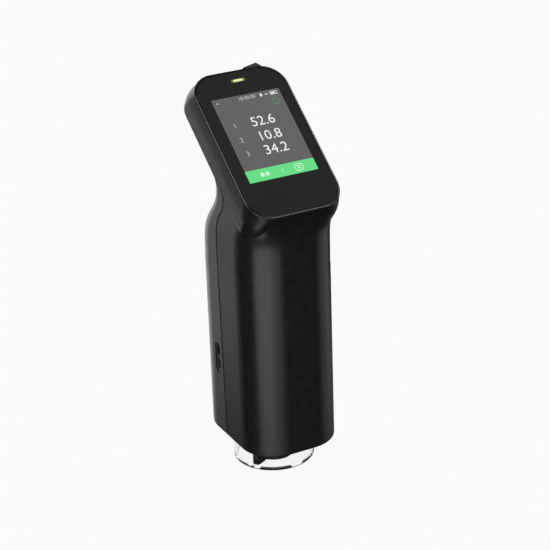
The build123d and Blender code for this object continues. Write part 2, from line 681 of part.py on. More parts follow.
def make_optics():
    plate = body_slice(chassis_bottom, chassis_top, wall + 0.6)
    plate -= rod(barrel_radius + seat_gap, chassis_bottom - 1, chassis_top + 1)
    for x, y in post_places:
        plate += rod(post_radius, base_plate_top, chassis_bottom, x, y)
        plate -= rod(screw_radius, base_plate_top - 1, base_plate_top + 8, x, y)
    save(plate, "optics_chassis")

    stop_radius = barrel_bore - lens_lip
    flange_bottom = chassis_bottom - chassis_thickness
    flange_radius = barrel_radius + barrel_flange
    profile = make_face(Polyline(
        (stop_radius, platform_top), (barrel_radius, platform_top), (barrel_radius, flange_bottom),
        (flange_radius, flange_bottom), (flange_radius, chassis_bottom), (barrel_radius, chassis_bottom),
        (barrel_radius, chassis_top + barrel_end), (barrel_bore, chassis_top + barrel_end),
        (barrel_bore, lens_height), (stop_radius, lens_height), close=True))
    save(revolve(Plane.XZ * profile, Axis.Z), "lens_barrel")

    glass_radius = stop_radius - 0.2
    foot = lens_height + 0.1
    with BuildSketch(Plane.XZ) as lens:
        with BuildLine():
            lower = ThreePointArc((-glass_radius, foot), (0, foot - lens_bulge), (glass_radius, foot))
            upper = ThreePointArc((-glass_radius, foot + lens_rim), (0, foot + lens_rim + lens_bulge),
                                  (glass_radius, foot + lens_rim))
            Line(lower @ 0, upper @ 0)
            Line(lower @ 1, upper @ 1)
        make_face()
    right_half = lens.sketch & (Plane.XZ * Pos(barrel_radius, lens_height) * Rectangle(2 * barrel_radius, 40))
    fit = barrel_bore - 0.05
    glass = revolve(right_half, Axis.Z) + tube(fit, glass_radius - 0.2, lens_height + 0.05, lens_height + lens_rim)
    save(glass, "collecting_lens")
    retainer_foot = lens_height + lens_rim + 0.4
    save(tube(fit, glass_radius - 0.2, retainer_foot, retainer_foot + 1.6), "lens_retainer")

    w = spectrometer_half_width
    t = spectrometer_wall
    c = spectrometer_corner
    front, rear = -spectrometer_front, spectrometer_rear
    case = block((-w, w), (front, rear), (chassis_top, spectrometer_top))
    case = fillet(case.edges().filter_by(Axis.Z), c)
    hollow = block((t - w, w - t), (front + t, rear - t), (chassis_top + t, spectrometer_top + 1))
    case -= fillet(hollow.edges().filter_by(Axis.Z), c - t + 0.1)
    case -= rod(barrel_radius + seat_gap, chassis_top - 1, chassis_top + t + 1)
    corners = [(x, y) for x in (c - w, w - c) for y in (front + c, rear - c)]
    lid = block((-w, w), (front, rear), (spectrometer_top, spectrometer_top + lid_thickness))
    lid = fillet(lid.edges().filter_by(Axis.Z), c)
    for x, y in corners:
        case += rod(2.2, chassis_top + 1, spectrometer_top, x, y)
        case -= rod(screw_radius, spectrometer_top - 5, spectrometer_top + 1, x, y)
        lid -= rod(screw_radius + seat_gap, spectrometer_top - 1, spectrometer_top + lid_thickness + 1, x, y)
    save(case, "spectrometer_block")
    save(lid, "spectrometer_lid")
    head_top = spectrometer_top + lid_thickness + screw_head_height
    save(screws([Pos(x, y, head_top) for x, y in corners], 6, drive=False), "lid_screws")

    # The light comes up the barrel, is turned forward by the mirror, passes the slit and meets the
    # grating, which sends it back to the line sensor beside the mirror.
    floor = chassis_top + t
    far_wall = rear - t
    m = mirror_half_width
    wedge = make_face(Polyline(
        (5.2, floor), (5.2, floor + mirror_height), (-3.8, floor + mirror_height), (5.2, floor + 0.2), close=True))
    mirror = extrude(Plane.YZ * wedge, m, both=True) - rod(barrel_bore, 0, floor + 0.05)
    mirror += block((-m, m), (5.2, far_wall), (floor, floor + mirror_height))
    save(mirror, "fold_mirror")
    axis_height = floor + 7.3
    slit = block((-5, 5), (-10.0, -9.0), (floor, floor + 10))
    slit -= block((-slit_width / 2, slit_width / 2), (-11, -8), (floor + 3, floor + 7))
    save(slit, "entrance_slit")
    near_wall = front + t
    grating = Pos(0, near_wall, axis_height) * Rot(-90, 0, 0) * extrude(Circle(grating_radius), grating_thickness)
    hollow_centre = near_wall + grating_thickness + grating_curve - 2
    grating -= Pos(0, hollow_centre, axis_height) * Sphere(grating_curve)
    save(grating, "concave_grating")
    sensor_left = m + 0.5
    save(block((sensor_left, sensor_left + 7.4), (far_wall - 1.4, far_wall), (floor + 1, floor + 14)), "sensor_board")
    save(block((sensor_left + 0.6, sensor_left + 6.8), (far_wall - 3.4, far_wall - 1.4), (floor + 4, floor + 11)),
         "line_sensor")


# ---- Power and electronics --------------------------------------------------------------------------

def make_power():
    w = tray_half_width
    tray = block((-w, w), (tray_face, tray_end), (chassis_top, chassis_top + tray_wall))
    tray += block((-w, w), (tray_face, tray_back), (chassis_top, tray_top))
    for side in (-1, 1):
        inner, outer = sorted((side * (w - cheek_wall), side * w))
        tray += block((inner, outer), (tray_back - 0.1, tray_end - 4), (chassis_top, chassis_top + tray_cheek))
    board_places = [(x, z) for x in (-main_board_screw_x, main_board_screw_x)
                    for z in (main_board_bottom + 4, tray_top - 4)]
    for x, z in board_places:
        tray += Pos(x, tray_face + 0.1, z) * Rot(90, 0, 0) * extrude(Circle(standoff_radius), standoff + 0.1)
        tray -= Pos(x, tray_back + 1, z) * Rot(90, 0, 0) * extrude(Circle(screw_radius), 8)
    foot_screw_x = w - 2.6
    foot_places = [Pos(x, tray_end - 2.0, chassis_top + tray_wall + screw_head_height)
                   for x in (-foot_screw_x, foot_screw_x)]
    tray -= screw_holes(foot_places, 3.4, 0.5)
    save(tray, "battery_tray")
    save(screws(foot_places, 2.8, head=1.5, drive=False), "tray_screws")

    half = battery_width / 2
    pack = block((-half, half), (battery_front, tray_end), (battery_bottom, battery_top))
    save(fillet(pack.edges().filter_by(Axis.Z), battery_corner), "battery_pack")

    half = main_board_width / 2
    board = block((-half, half), (board_front, board_rear), (main_board_bottom, main_board_top))
    for x, z in board_places:
        board -= Pos(x, board_rear + 1, z) * Rot(90, 0, 0) * extrude(Circle(screw_radius + screw_gap), 4)
    save(board, "main_board")
    places = [Pos(x, board_front - screw_head_height, z) * Rot(90, 0, 0) for x, z in board_places]
    save(screws(places, 5, drive=False), "main_board_screws")

    def component(x_span, z_span, height, level):
        return block(x_span, (board_front - height, board_front), [level + z for z in z_span])

    chips = [((-7, 5), (12, 24), 1.4), ((9, 19), (10, 18), 1.0), ((9, 15), (21, 27), 1.0)]
    save(Compound(children=[component(*chip, main_board_bottom) for chip in chips]), "main_board_chips")
    save(component((-20, -8), (-12, -1), 2.2, main_board_top), "radio_module")
    save(component((8, 18), (-8, -3), 3.2, main_board_top), "ribbon_connector")

    # The link ribbon climbs from its connector to the back of the display board.
    end = on_face(0, -18, display_board_back + 0.12).position
    start = on_face(0, -26, display_board_back + 0.12).position
    ribbon_y = board_front - 1.6
    path = FilletPolyline((ribbon_y, main_board_top - 3), (ribbon_y, main_board_top + 2), (start.Y, start.Z),
                          (end.Y, end.Z), radius=2.0)
    save(Pos(13, 0, 0) * extrude(Plane.YZ * trace(path, film_thickness), ribbon_width / 2, both=True), "link_ribbon")


def make_side_controls():
    inner_side = side_board_thickness - side_board_x
    half = side_board_width / 2
    board = block((-side_board_x, inner_side), (recess_y - half, recess_y + half), (side_board_bottom, side_board_top))
    for z in side_screw_heights:
        board -= Pos(-side_board_x - 1, recess_y, z) * Rot(0, 90, 0) * extrude(Circle(screw_radius + screw_gap), 4)
    save(board, "side_board")
    places = [Pos(inner_side + screw_head_height, recess_y, z) * Rot(0, 90, 0) for z in side_screw_heights]
    save(screws(places, 4.6, drive=False), "side_board_screws")

    mouth = recess_floor + 0.1
    shell = flank_slot(socket_length / 2, socket_width / 2, mouth, side_board_x, socket_z)
    floor = side_board_x + 0.6
    shell -= flank_slot(socket_length / 2 - socket_wall, socket_width / 2 - socket_wall, mouth + 1, floor, socket_z)
    save(shell, "usb_socket")
    half = socket_length / 2 - 1.4
    tongue = block((0.7 - mouth, -floor), (recess_y - 0.35, recess_y + 0.35), (socket_z - half, socket_z + half))
    save(tongue, "usb_contacts")

    outer = recess_floor + power_proud
    flange_outer = half_width - wall - moving_gap
    flange_inner = flange_outer - 0.8
    button = flank_slot(power_length / 2, power_width / 2, outer, flange_inner, power_z)
    button = fillet(button.faces().sort_by(Axis.X)[0].edges(), 0.4)
    button += flank_slot(power_length / 2 + 0.8, power_width / 2 + 0.8, flange_outer, flange_inner, power_z)
    save(button, "power_button")
    reach = flange_inner - power_travel - 0.1
    switch = block((0.5 - reach, -side_board_x), (recess_y - 1.5, recess_y + 1.5), (power_z - 1.8, power_z + 1.8))
    switch += Pos(-reach, recess_y, power_z) * Rot(0, 90, 0) * extrude(Circle(0.7), 0.6)
    save(switch, "power_switch")
    light = extrude(Circle(charge_radius), recess_floor - side_board_x)
    save(Pos(-side_board_x, recess_y, charge_z) * Rot(0, -90, 0) * light, "charge_light")


os.makedirs("parts", exist_ok=True)
front_housing, rear_cover = make_housing()
save(front_housing, "front_housing")
save(rear_cover, "rear_cover")
save(screws(head_screw_places, head_screw_length) + screws(body_screw_places, body_screw_length), "cover_screws")
make_display()
make_top_button()
make_base()
make_ring()
make_nose()
make_sphere()
make_optics()
make_power()
make_side_controls()
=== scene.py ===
import bpy
import json
from math import cos, pi, radians, sin
from mathutils import Matrix, Vector


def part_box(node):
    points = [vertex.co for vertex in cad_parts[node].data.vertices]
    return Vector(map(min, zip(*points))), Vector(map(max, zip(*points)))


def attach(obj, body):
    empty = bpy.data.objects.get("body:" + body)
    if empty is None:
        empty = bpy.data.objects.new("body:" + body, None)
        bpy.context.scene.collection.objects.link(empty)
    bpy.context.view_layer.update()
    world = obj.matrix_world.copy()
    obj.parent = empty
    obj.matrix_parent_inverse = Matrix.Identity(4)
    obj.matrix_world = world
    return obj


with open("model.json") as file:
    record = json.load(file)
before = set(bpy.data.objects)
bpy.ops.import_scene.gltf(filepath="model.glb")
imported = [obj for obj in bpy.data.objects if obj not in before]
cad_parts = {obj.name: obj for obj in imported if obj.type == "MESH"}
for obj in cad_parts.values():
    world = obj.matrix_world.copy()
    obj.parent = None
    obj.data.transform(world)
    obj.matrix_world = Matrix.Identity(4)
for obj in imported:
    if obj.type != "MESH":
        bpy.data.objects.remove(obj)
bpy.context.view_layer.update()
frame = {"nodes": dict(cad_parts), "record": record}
mm = 0.001
print("frame loaded:", len(frame["nodes"]), "nodes")

# the tilted face: its centre, and how far its normal stands above level
face = {"centre": Vector((0, -5.6, 202.5)) * mm, "elevation": radians(52.1), "screenRise": 3.6 * mm,
        "screenWidth": 43.2 * mm, "screenLength": 57.6 * mm, "glassDepth": 0.1 * mm}


def faceMatrix(proud=0.0):
    # the screen's centre, with x across, y up the screen and z out of it
    across = Vector((1, 0, 0))
    outward = Vector((0, -cos(face["elevation"]), sin(face["elevation"])))
    along = outward.cross(across)
    place = face["centre"] + along * face["screenRise"] + outward * (proud - face["glassDepth"])
    turn = Matrix((across, along, outward)).transposed().to_4x4()
    return Matrix.Translation(place) @ turn


def pickNothing():
    if bpy.context.object and bpy.context.object.mode != "OBJECT":
        bpy.ops.object.mode_set(mode="OBJECT")
    bpy.ops.object.select_all(action="DESELECT")


def settle(piece, matrix, material, body="instrument"):
    # moves a finished piece to its place and leaves its object at the origin
    pickNothing()
    piece.select_set(True)
    bpy.context.view_layer.objects.active = piece
    piece.matrix_world = matrix @ piece.matrix_world
    bpy.ops.object.transform_apply(location=True, rotation=True, scale=True)
    piece.data.materials.clear()
    piece.data.materials.append(material)
    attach(piece, body)


# small helpers for the finishes, which are node materials on Object coordinates
def startMaterial(name, colour, roughness, metallic=0.0):
    material = bpy.data.materials.new(name)
    material.use_nodes = True
    tree = material.node_tree
    shader = tree.nodes["Principled BSDF"]
    shader.inputs["Base Color"].default_value = (*colour, 1)
    shader.inputs["Roughness"].default_value = roughness
    shader.inputs["Metallic"].default_value = metallic
    coords = tree.nodes.new("ShaderNodeTexCoord")
    return material, tree, shader, coords


def splitVector(tree, source):
    parts = tree.nodes.new("ShaderNodeSeparateXYZ")
    tree.links.new(source, parts.inputs["Vector"])
    return parts.outputs


def joinVector(tree, **sources):
    whole = tree.nodes.new("ShaderNodeCombineXYZ")
    for axis, source in sources.items():
        tree.links.new(source, whole.inputs[axis])
    return whole.outputs["Vector"]


def addVectorStep(tree, kind, source, outlet, other=None):
    node = tree.nodes.new("ShaderNodeVectorMath")
    node.operation = kind
    tree.links.new(source, node.inputs[0])
    if other is not None:
        node.inputs[1].default_value = other
    return node.outputs[outlet]


def addMath(tree, kind, *sources):
    # each source is another node's output or a plain number
    node = tree.nodes.new("ShaderNodeMath")
    node.operation = kind
    for port, source in zip(node.inputs, sources):
        if isinstance(source, float):
            port.default_value = source
        else:
            tree.links.new(source, port)
    return node.outputs["Value"]


def addRange(tree, source, start, end, low=0.0, high=1.0, smooth=False):
    # start to end becomes low to high, with soft ends where smooth
    spread = tree.nodes.new("ShaderNodeMapRange")
    if smooth:
        spread.interpolation_type = "SMOOTHSTEP"
    spread.inputs["From Min"].default_value = start
    spread.inputs["From Max"].default_value = end
    spread.inputs["To Min"].default_value = low
    spread.inputs["To Max"].default_value = high
    tree.links.new(source, spread.inputs["Value"])
    return spread.outputs["Result"]


def addRamp(tree, source, stops):
    # stops are (place, colour) pairs in rising order
    ramp = tree.nodes.new("ShaderNodeValToRGB")
    while len(ramp.color_ramp.elements) < len(stops):
        ramp.color_ramp.elements.new(0.5)
    for element, (position, colour) in zip(ramp.color_ramp.elements, stops):
        element.position = position
        element.color = (*colour, 1)
    tree.links.new(source, ramp.inputs["Fac"])
    return ramp.outputs["Color"]


def addNoise(tree, coords, scale, detail=3.0, stretch=(1, 1, 1)):
    mapping = tree.nodes.new("ShaderNodeMapping")
    mapping.inputs["Scale"].default_value = stretch
    noise = tree.nodes.new("ShaderNodeTexNoise")
    noise.inputs["Scale"].default_value = scale
    noise.inputs["Detail"].default_value = detail
    tree.links.new(coords.outputs["Object"], mapping.inputs["Vector"])
    tree.links.new(mapping.outputs["Vector"], noise.inputs["Vector"])
    return noise.outputs["Fac"]


# where the noise's middle lies, and how deep the fine grain is cut
grainShape = {"glossFrom": 0.3, "glossTo": 0.7, "colourFrom": 0.35, "colourTo": 0.65, "relief": 0.6,
              "cloudScale": 1 / 12, "cloudDetail": 4.0, "fineDetail": 2.0}


def varyRoughness(tree, shader, source, low, high):
    gloss = addRange(tree, source, grainShape["glossFrom"], grainShape["glossTo"], low, high)
    tree.links.new(gloss, shader.inputs["Roughness"])


def setSpecular(material, level):
    material.node_tree.nodes["Principled BSDF"].inputs["Specular IOR Level"].default_value = level


def grainedFinish(name, dark, light, rough, grain, height, metallic=0.0, stretch=(1, 1, 1)):
    # a moulded, cast or machined surface: fine grain in colour, gloss and relief
    material, tree, shader, coords = startMaterial(name, dark, rough[0], metallic)
    cloud = addNoise(tree, coords, grain * grainShape["cloudScale"], grainShape["cloudDetail"], stretch)
    fine = addNoise(tree, coords, grain, grainShape["fineDetail"], stretch)
    colour = addRamp(tree, cloud, [(grainShape["colourFrom"], dark), (grainShape["colourTo"], light)])
    tree.links.new(colour, shader.inputs["Base Color"])
    varyRoughness(tree, shader, cloud, *rough)
    bump = tree.nodes.new("ShaderNodeBump")
    bump.inputs["Strength"].default_value = grainShape["relief"]
    bump.inputs["Distance"].default_value = height
    tree.links.new(fine, bump.inputs["Height"])
    tree.links.new(bump.outputs["Normal"], shader.inputs["Normal"])
    return material


# noise per metre of the dust on lit panes and of the polish on clear ones, and the share of their roughness
# between which each varies
dust = {"scale": 900, "least": 0.9, "most": 1.3}
polish = {"scale": 220, "least": 0.6, "most": 1.6}


def glowFinish(name, colour, glow, rough):
    # lit ink or a lit pane, under a little dust
    material, tree, shader, coords = startMaterial(name, colour, rough)
    shader.inputs["Emission Color"].default_value = (*glow, 1)
    shader.inputs["Emission Strength"].default_value = 1.0
    noise = addNoise(tree, coords, dust["scale"])
    varyRoughness(tree, shader, noise, rough * dust["least"], rough * dust["most"])
    return material


def clearFinish(name, colour, rough, index):
    material, tree, shader, coords = startMaterial(name, colour, rough)
    shader.inputs["Transmission Weight"].default_value = 1.0
    shader.inputs["IOR"].default_value = index
    noise = addNoise(tree, coords, polish["scale"])
    varyRoughness(tree, shader, noise, rough * polish["least"], rough * polish["most"])
    return material


seamWall = {"facing": (-0.3, -0.6), "Base Color": (0.001, 0.001, 0.001, 1), "Roughness": 1.0}


def darkenInwards(material):
    # the cover's forward-facing walls lie in the seam, where little light reaches
    tree = material.node_tree
    shader = tree.nodes["Principled BSDF"]
    facing = splitVector(tree, tree.nodes["Texture Coordinate"].outputs["Normal"])
    forward = addRange(tree, facing["Y"], *seamWall["facing"])
    for socket, kind in (("Base Color", "RGBA"), ("Roughness", "FLOAT")):
        mix = tree.nodes.new("ShaderNodeMix")
        mix.data_type = kind
        ports = [port for port in mix.inputs if port.enabled]
        outlet = [port for port in mix.outputs if port.enabled][0]
        tree.links.new(forward, ports[0])
        tree.links.new(shader.inputs[socket].links[0].from_socket, ports[1])
        ports[2].default_value = seamWall[socket]
        tree.links.new(outlet, shader.inputs[socket])


flank = {
    # depths behind the face between which the head's flank runs into the neck
    "from": (8 * mm, 12 * mm), "to": (20.6 * mm, 22.6 * mm),
    # how far sideways a wall faces to be flank, and how much of its tilt the light still sees
    "sideways": (0.94, 0.985), "tilt": 0.1,
    # heights between which the grip runs into the shoulder
    "waistFrom": (124 * mm, 126.5 * mm), "waistTo": (131.5 * mm, 134 * mm),
}


def easeFlank(material):
    # head and neck, and grip and shoulder, flow into each other without a hard line
    tree = material.node_tree
    coords = tree.nodes["Texture Coordinate"]
    inward = Vector((0, cos(face["elevation"]), -sin(face["elevation"])))
    centre = inward.dot(face["centre"])

    def within(source, start, end):
        # one between the two soft edges and nothing outside them
        begun = addRange(tree, source, *start, smooth=True)
        ended = addRange(tree, source, *end, smooth=True)
        return addMath(tree, "MULTIPLY", begun, addMath(tree, "SUBTRACT", 1.0, ended))

    depth = addVectorStep(tree, "DOT_PRODUCT", coords.outputs["Object"], "Value", inward)
    headStart, headEnd = ([centre + edge for edge in flank[key]] for key in ("from", "to"))
    facing = splitVector(tree, coords.outputs["Normal"])
    sideways = addRange(tree, addMath(tree, "ABSOLUTE", facing["X"]), *flank["sideways"], smooth=True)
    inside = addMath(tree, "MULTIPLY", sideways, within(depth, headStart, headEnd))
    keep = addMath(tree, "SUBTRACT", 1.0, addMath(tree, "MULTIPLY", inside, 1.0 - flank["tilt"]))
    height = splitVector(tree, coords.outputs["Object"])["Z"]
    waist = within(height, flank["waistFrom"], flank["waistTo"])
    upright = addMath(tree, "MULTIPLY", keep, addMath(tree, "SUBTRACT", 1.0, waist))
    eased = joinVector(tree, X=facing["X"], Y=addMath(tree, "MULTIPLY", facing["Y"], keep),
                       Z=addMath(tree, "MULTIPLY", facing["Z"], upright))
    tree.links.new(addVectorStep(tree, "NORMALIZE", eased, "Vector"), tree.nodes["Bump"].inputs["Normal"])


indicator = {"halfLength": 2.35 * mm, "softness": (0.35 * mm, 1.05 * mm), "core": (0.80, 0.90, 0.40),
             "edge": (0.10, 0.115, 0.0), "body": (0.05, 0.055, 0.01), "rough": (0.13, 0.2)}


def indicatorFinish():
    # bright along the middle of the slot, olive towards its rim
    smoothest = indicator["rough"][0]
    material, tree, shader, coords = startMaterial("indicatorGlow", indicator["body"], smoothest)
    low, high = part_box("indicator_light_pipe")
    mapping = tree.nodes.new("ShaderNodeMapping")
    mapping.vector_type = "TEXTURE"
    mapping.inputs["Location"].default_value = (Vector(low) + Vector(high)) / 2
    mapping.inputs["Rotation"].default_value = (pi / 2 - face["elevation"], 0, 0)
    tree.links.new(coords.outputs["Object"], mapping.inputs["Vector"])
    place = splitVector(tree, mapping.outputs["Vector"])
    past = addMath(tree, "SUBTRACT", addMath(tree, "ABSOLUTE", place["X"]), indicator["halfLength"])
    fromLine = joinVector(tree, X=addMath(tree, "MAXIMUM", past, 0.0), Y=place["Y"])
    distance = addVectorStep(tree, "LENGTH", fromLine, "Value")
    fade = addRange(tree, distance, *indicator["softness"])
    glow = addRamp(tree, fade, [(0.0, indicator["core"]), (1.0, indicator["edge"])])
    tree.links.new(glow, shader.inputs["Emission Color"])
    shader.inputs["Emission Strength"].default_value = 1.0
    varyRoughness(tree, shader, addNoise(tree, coords, dust["scale"]), *indicator["rough"])
    return material


ring = {
    "clear": (0.93, 0.94, 0.94), "rough": 0.02, "index": 1.2, "specular": 0.3,
    "foot": (0.012, 0.012, 0.012), "footFront": radians(117.3), "footLow": -0.5 * mm, "footHigh": 1.6 * mm,
    "footEdge": 0.2 * mm,
    # how high the painted dark refraction arcs stand round the ring's foot, in turns from the far side,
    # where 0.5 faces the camera
    "paintedArcs": [(0.0, 0.9), (0.24, 0.0), (0.29, 0.0), (0.31, 0.55), (0.37, 0.7), (0.385, 0.35), (0.395, 0.35),
             (0.407, 0.95), (0.414, 0.0), (0.432, 0.0), (0.445, 1.0), (0.568, 1.0), (0.58, 0.0),
             (0.622, 0.0), (0.635, 0.95), (0.70, 0.7), (0.72, 0.0), (0.76, 0.9), (1.0, 0.9)],
}


def ringFinish():
    # clear plastic with painted refraction: dark arcs that come and go round the ring's foot, where the
    # clear edge shows the black body
    material = clearFinish("clearRingPlastic", ring["clear"], ring["rough"], ring["index"])
    setSpecular(material, ring["specular"])
    tree = material.node_tree
    coords = tree.nodes["Texture Coordinate"]
    turned = tree.nodes.new("ShaderNodeMapping")
    turned.inputs["Rotation"].default_value = (0, 0, ring["footFront"])
    tree.links.new(coords.outputs["Object"], turned.inputs["Vector"])
    around = tree.nodes.new("ShaderNodeTexGradient")
    around.gradient_type = "RADIAL"
    tree.links.new(turned.outputs["Vector"], around.inputs["Vector"])
    paintedArcs = addRamp(tree, around.outputs["Fac"], [(place, (level,) * 3) for place, level in ring["paintedArcs"]])
    footTop = addRange(tree, paintedArcs, 0.0, 1.0, ring["footLow"], ring["footHigh"])
    above = addMath(tree, "SUBTRACT", splitVector(tree, coords.outputs["Object"])["Z"], footTop)
    edge = addRange(tree, above, 0.0, ring["footEdge"])
    # painted refraction: below the arcs' top the clear plastic is tinted near black
    paintedArcTint = addRamp(tree, edge, [(0.0, ring["foot"]), (1.0, ring["clear"])])
    tree.links.new(paintedArcTint, tree.nodes["Principled BSDF"].inputs["Base Color"])
    return material


# two colours, two roughnesses, grain per metre and relief of each moulded, cast or machined finish
grained = {
    "housing": dict(name="satinHousing", dark=(0.0085, 0.0085, 0.0088), light=(0.0110, 0.0110, 0.0114),
                    rough=(0.27, 0.33), grain=2600, height=0.03 * mm),
    "rearHousing": dict(name="rearHousing", dark=(0.0230, 0.0230, 0.0236), light=(0.0270, 0.0270, 0.0277),
                        rough=(0.30, 0.36), grain=2600, height=0.03 * mm),
    "nose": dict(name="mattNose", dark=(0.006, 0.006, 0.0063), light=(0.010, 0.010, 0.0105),
                 rough=(0.42, 0.55), grain=2200, height=0.03 * mm),
    "cap": dict(name="mattCap", dark=(0.0030, 0.0030, 0.0031), light=(0.0050, 0.0050, 0.0052),
                rough=(0.62, 0.74), grain=2200, height=0.03 * mm),
    "button": dict(name="satinButton", dark=(0.008, 0.008, 0.0083), light=(0.012, 0.012, 0.0125),
                   rough=(0.45, 0.55), grain=3000, height=0.03 * mm),
    "recessKey": dict(name="recessKey", dark=(0.002, 0.002, 0.002), light=(0.004, 0.004, 0.004),
                      rough=(0.6, 0.7), grain=3000, height=0.02 * mm),
    "tray": dict(name="trayPlastic", dark=(0.05, 0.05, 0.055), light=(0.07, 0.07, 0.075),
                 rough=(0.4, 0.55), grain=1800, height=0.02 * mm),
    "sphere": dict(name="whiteCoating", dark=(0.84, 0.84, 0.82), light=(0.93, 0.93, 0.91),
                   rough=(0.8, 0.95), grain=1400, height=0.02 * mm),
    "metal": dict(name="milledAluminium", dark=(0.52, 0.53, 0.55), light=(0.66, 0.67, 0.69),
                  rough=(0.24, 0.38), grain=900, height=0.01 * mm, metallic=1.0, stretch=(1, 1, 12)),
    "black_metal": dict(name="blackAnodised", dark=(0.018, 0.018, 0.02), light=(0.03, 0.03, 0.033),
                        rough=(0.32, 0.45), grain=1500, height=0.01 * mm, metallic=0.6),
    "screw": dict(name="platedScrew", dark=(0.36, 0.37, 0.39), light=(0.52, 0.53, 0.55),
                  rough=(0.22, 0.36), grain=2500, height=0.01 * mm, metallic=1.0),
    "chip": dict(name="chipResin", dark=(0.012, 0.012, 0.013), light=(0.02, 0.02, 0.022),
                 rough=(0.5, 0.65), grain=2400, height=0.01 * mm),
    "board": dict(name="solderMask", dark=(0.008, 0.07, 0.03), light=(0.015, 0.11, 0.05),
                  rough=(0.25, 0.4), grain=1300, height=0.015 * mm),
    "battery": dict(name="batteryWrap", dark=(0.02, 0.06, 0.2), light=(0.03, 0.08, 0.26),
                    rough=(0.22, 0.34), grain=700, height=0.02 * mm),
    "seal": dict(name="sealRubber", dark=(0.012, 0.012, 0.012), light=(0.02, 0.02, 0.02),
                 rough=(0.7, 0.85), grain=1600, height=0.02 * mm),
    "film": dict(name="ribbonFilm", dark=(0.32, 0.13, 0.03), light=(0.42, 0.18, 0.04),
                 rough=(0.25, 0.35), grain=800, height=0.01 * mm),
    "socket": dict(name="platedShell", dark=(0.5, 0.51, 0.53), light=(0.62, 0.63, 0.65),
                   rough=(0.18, 0.3), grain=1800, height=0.005 * mm, metallic=1.0),
    "mirror": dict(name="frontMirror", dark=(0.88, 0.88, 0.88), light=(0.92, 0.92, 0.92),
                   rough=(0.02, 0.05), grain=600, height=0.0005 * mm, metallic=1.0),
    "led": dict(name="phosphor", dark=(0.85, 0.74, 0.35), light=(0.93, 0.84, 0.5),
                rough=(0.4, 0.5), grain=1800, height=0.01 * mm),
    "face_glass": dict(name="blackGlass", dark=(0.0035, 0.0035, 0.0037), light=(0.0045, 0.0045, 0.0047),
                       rough=(0.09, 0.13), grain=500, height=0.001 * mm),
    "screen": dict(name="unlitPanel", dark=(0.05, 0.05, 0.05), light=(0.06, 0.06, 0.06),
                   rough=(0.15, 0.2), grain=900, height=0.001 * mm),
    "frosted": dict(name="frostedLens", dark=(0.16, 0.16, 0.155), light=(0.21, 0.21, 0.205),
                    rough=(0.35, 0.5), grain=1500, height=0.01 * mm),
}
# finishes that shine more or less than plain plastic
specular = {"rearHousing": 0.8, "nose": 0.2, "cap": 0.2, "face_glass": 0.25}
lens = {"clear": (0.93, 0.97, 1.0), "rough": 0.01, "index": 1.52}


def makeFinishes():
    finish = {slotName: grainedFinish(**values) for slotName, values in grained.items()}
    for name, level in specular.items():
        setSpecular(finish[name], level)
    darkenInwards(finish["rearHousing"])
    easeFlank(finish["housing"])
    easeFlank(finish["rearHousing"])
    finish["lens"] = clearFinish("coatedLens", lens["clear"], lens["rough"], lens["index"])
    finish["clear_ring"] = ringFinish()
    finish["indicator"] = indicatorFinish()
    return finish


finishes = makeFinishes()
finishOf = {entry["node"]: entry["material_slot"] for entry in frame["record"]["subparts"]}
# nodes whose finish isn't the one that their slot names
finishOf.update(indicator_light_pipe="indicator", rear_cover="rearHousing", aperture_cap="cap",
                charge_light="frosted", usb_socket="black_metal", power_button="recessKey")
for nodeName, node in frame["nodes"].items():
    for place in node.material_slots:
        place.material = finishes[finishOf[nodeName]]
print("finishes on the nodes:", len(finishes))

